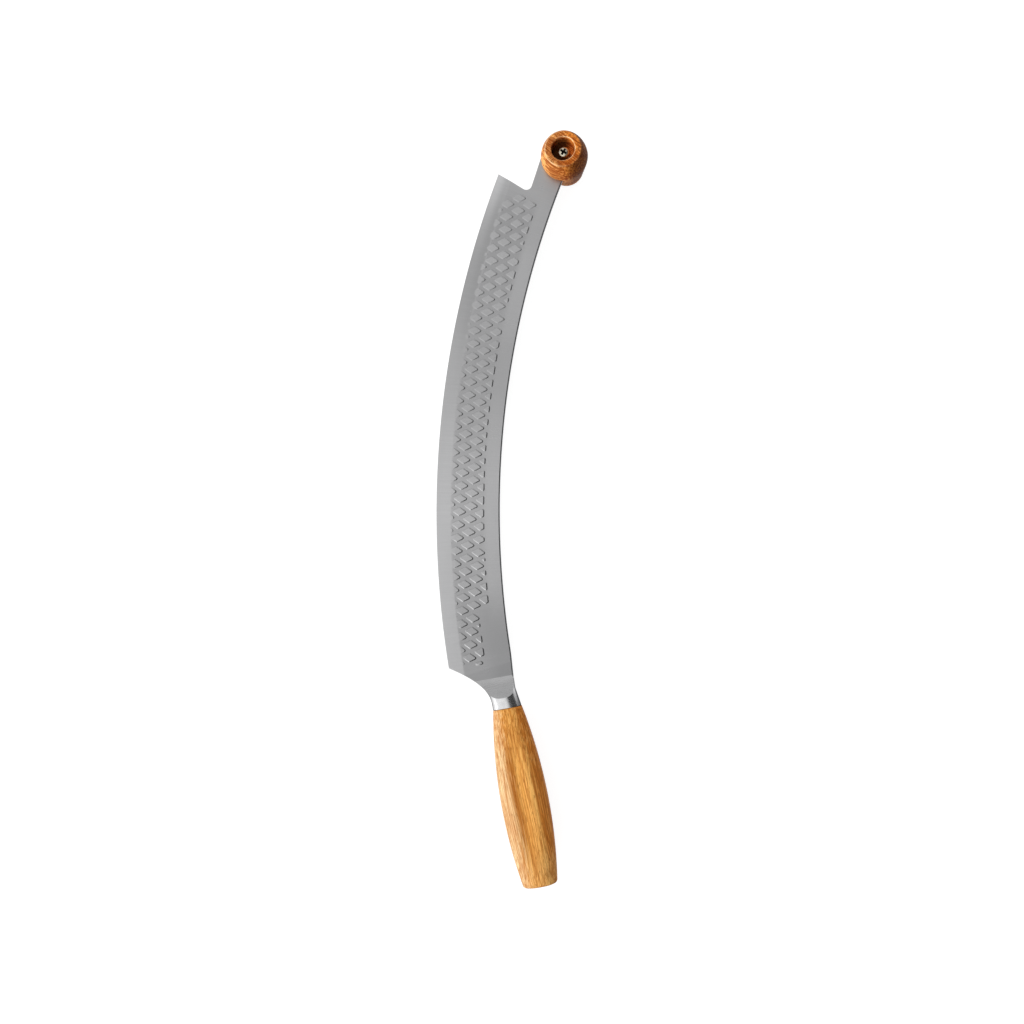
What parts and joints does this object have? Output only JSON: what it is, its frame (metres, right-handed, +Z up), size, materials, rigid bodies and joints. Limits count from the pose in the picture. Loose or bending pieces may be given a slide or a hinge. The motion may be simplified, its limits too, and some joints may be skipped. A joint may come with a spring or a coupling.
{
  "type": "pizza and cheese knife",
  "caption": "Long curved rocker knife for pizza and cheese: diamond relief on the blade, a wooden handle behind and an upright wooden knob in front, for cutting with both hands.",
  "frame": {"origin": "on the table, under the middle of the knife's box, with the knife lying as it rests by itself on its cutting edge, knob and handle", "axes": "+Y runs along the knife from the handle to the knob, +X from the cutting edge towards the spine, +Z up from the table"},
  "size_m": [0.0966, 0.4874, 0.0439],
  "materials": {
    "blade": "brushed across the blade",
    "bolster": "polished steel",
    "handle": "oiled light oak",
    "tang_epoxy": "set adhesive",
    "knob": "oiled darker wood",
    "knob_screw": "bright plated steel"
  },
  "bodies": {
    "root": {"blade": "blade", "bolster": "bolster", "handle": "handle", "tang_epoxy": "tang_epoxy", "knob": "knob", "knob_screw": "knob_screw"}
  },
  "joints": []
}
